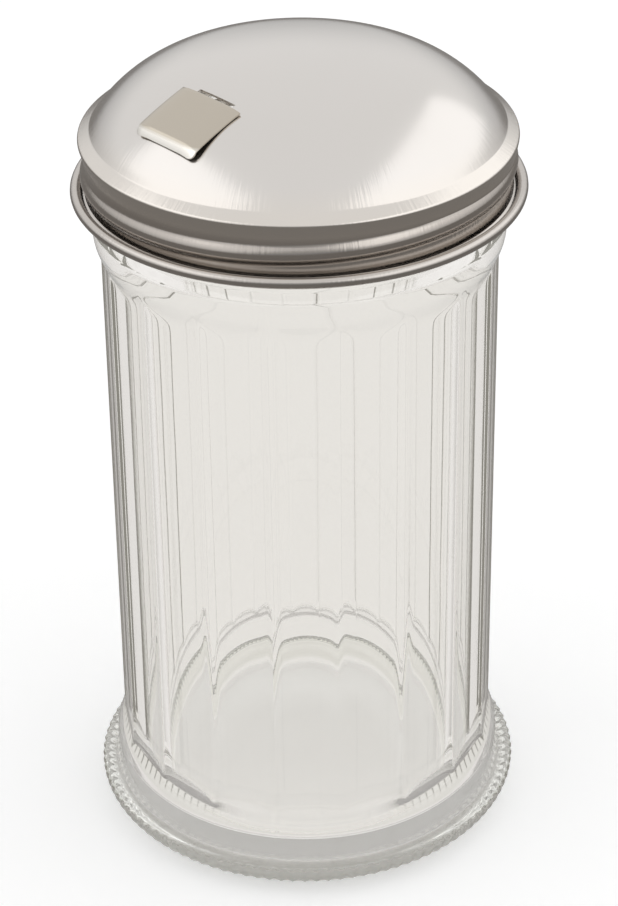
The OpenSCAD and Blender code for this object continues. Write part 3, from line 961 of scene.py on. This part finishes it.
# %% Floor
FLOOR_SPAN = 6
FLOOR_LIFT = 0.3
bpy.ops.object.select_all(action="DESELECT")
bpy.ops.mesh.primitive_plane_add(size=FLOOR_SPAN)
floor = bpy.context.object
floor.name = "floor"
pale, tree = new_material("pale_floor")
path = add(tree, "LightPath")
matt = add(tree, "BsdfDiffuse", {"Color": linear("F8F8F8")}).outputs[0]
lift = add(tree, "Emission", {"Color": linear("FFFFFF"), "Strength": FLOOR_LIFT}).outputs[0]
lifted = add(tree, "AddShader", {0: matt, 1: lift}).outputs[0]
seen_through = add(tree, "Emission", {"Color": linear("F1EEEC")}).outputs[0]
mirrored = add(tree, "Emission", {"Color": linear("868380")}).outputs[0]
top = add(tree, "MixShader", {0: path.outputs["Is Camera Ray"], 1: matt, 2: lifted}).outputs[0]
top = add(tree, "MixShader", {0: path.outputs["Is Glossy Ray"], 1: top, 2: mirrored}).outputs[0]
top = add(tree, "MixShader", {0: path.outputs["Is Transmission Ray"], 1: top, 2: seen_through}).outputs[0]
add(tree, "OutputMaterial", {"Surface": top})
floor.data.materials.append(pale)
print("floor", FLOOR_SPAN, "m across")

# %% [markdown]
# The world lights the object evenly. In mirrors and through the glass it is paler upwards, and on the side
# where the photographer stood it is darker, as a room is behind a camera. That side is fixed in the world,
# so it stays in place when another view is taken.

# %% World, paler upwards
WHITE = (1, 1, 1, 1)
HORIZON = (0.6, 0.6, 0.6, 1)
PALE_FROM = 0.3
world = bpy.data.worlds.new("studio")
bpy.context.scene.world = world
world.use_nodes = True
tree = world.node_tree
tree.nodes.clear()
direction = add(tree, "TexCoord").outputs["Generated"]
rise = add(tree, "SeparateXYZ", {0: direction}).outputs[2]
tone = add(tree, "ValToRGB", {0: rise})
stops = tone.color_ramp.elements
stops[0].position, stops[0].color = 0.0, HORIZON
stops[1].position, stops[1].color = PALE_FROM, WHITE
print("world pale from", PALE_FROM, "of its height")

# %% World, darker behind the camera
ROOM_LIGHT = 0.68
ROOM_SIDE = (0.82, 0.92)
ROOM_DIM = 0.45
room_side = (sin_of(CAMERA_AROUND), -cos_of(CAMERA_AROUND), 0)
toward_room = add(tree, "VectorMath", {
    0: direction, 1: room_side}, operation="DOT_PRODUCT").outputs["Value"]
dim = add(tree, "MapRange", {
    "Value": toward_room, "From Min": ROOM_SIDE[0], "From Max": ROOM_SIDE[1],
    "To Min": 1.0, "To Max": ROOM_DIM}).outputs[0]
path = add(tree, "LightPath")
lit = add(tree, "Background", {"Color": WHITE, "Strength": ROOM_LIGHT}).outputs[0]
mirror = add(tree, "Background", {"Color": tone.outputs[0], "Strength": dim}).outputs[0]
white = add(tree, "Background", {"Color": WHITE, "Strength": 1.0}).outputs[0]
sky = add(tree, "MixShader", {0: path.outputs["Is Glossy Ray"], 1: lit, 2: mirror}).outputs[0]
sky = add(tree, "MixShader", {0: path.outputs["Is Transmission Ray"], 1: sky, 2: mirror}).outputs[0]
sky = add(tree, "MixShader", {0: path.outputs["Is Camera Ray"], 1: sky, 2: white}).outputs[0]
add(tree, "OutputWorld", {"Surface": sky})
print("world lights at", ROOM_LIGHT)

# %% [markdown]
# Two large softboxes give the dome its pair of broad highlights, the left one small and the right one wide.
# Sun lamps would be easier to place, but a mirror shows the shape of what lights it. Their radiance is low,
# because a reflection of a lamp adds to the white world behind it and would clip.

# %% Lamps
LAMP_DISTANCE = 1.2
LAMP_AIM = Vector((0, 0, 0.1))


def softbox(name, around_deg, up_deg, width, height, radiance):
    """A rectangular lamp. around_deg runs from -Y towards +X, and a radiance of 1 is as bright as white."""
    side = cos_of(up_deg)
    out = Vector((sin_of(around_deg) * side, -cos_of(around_deg) * side, sin_of(up_deg)))
    light = bpy.data.lights.new(name, "AREA")
    light.shape = "RECTANGLE"
    light.size, light.size_y = width, height
    light.energy = radiance * math.pi * width * height
    lamp = bpy.data.objects.new(name, light)
    lamp.location = out * LAMP_DISTANCE + LAMP_AIM
    lamp.rotation_euler = out.to_track_quat("Z", "Y").to_euler()
    bpy.context.scene.collection.objects.link(lamp)
    print(name, width, "by", height, "m,", round(light.energy, 2), "W")


softbox("left_softbox", around_deg=CAMERA_AROUND - 78, up_deg=42, width=1.4, height=0.7, radiance=0.5)
softbox("right_softbox", around_deg=CAMERA_AROUND + 86, up_deg=40, width=2.9, height=0.78, radiance=0.47)
bpy.context.scene.view_settings.view_transform = "Standard"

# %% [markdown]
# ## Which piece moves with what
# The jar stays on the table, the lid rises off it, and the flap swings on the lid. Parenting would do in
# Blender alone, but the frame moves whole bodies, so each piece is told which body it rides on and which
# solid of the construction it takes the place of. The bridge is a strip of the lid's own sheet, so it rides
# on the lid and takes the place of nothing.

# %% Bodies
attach(jar, "jar")
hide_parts("glass_jar")
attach(lid, "lid")
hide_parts("screw_lid")
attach(bridge, "lid")
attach(flap, "flap")
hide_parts("pour_flap")
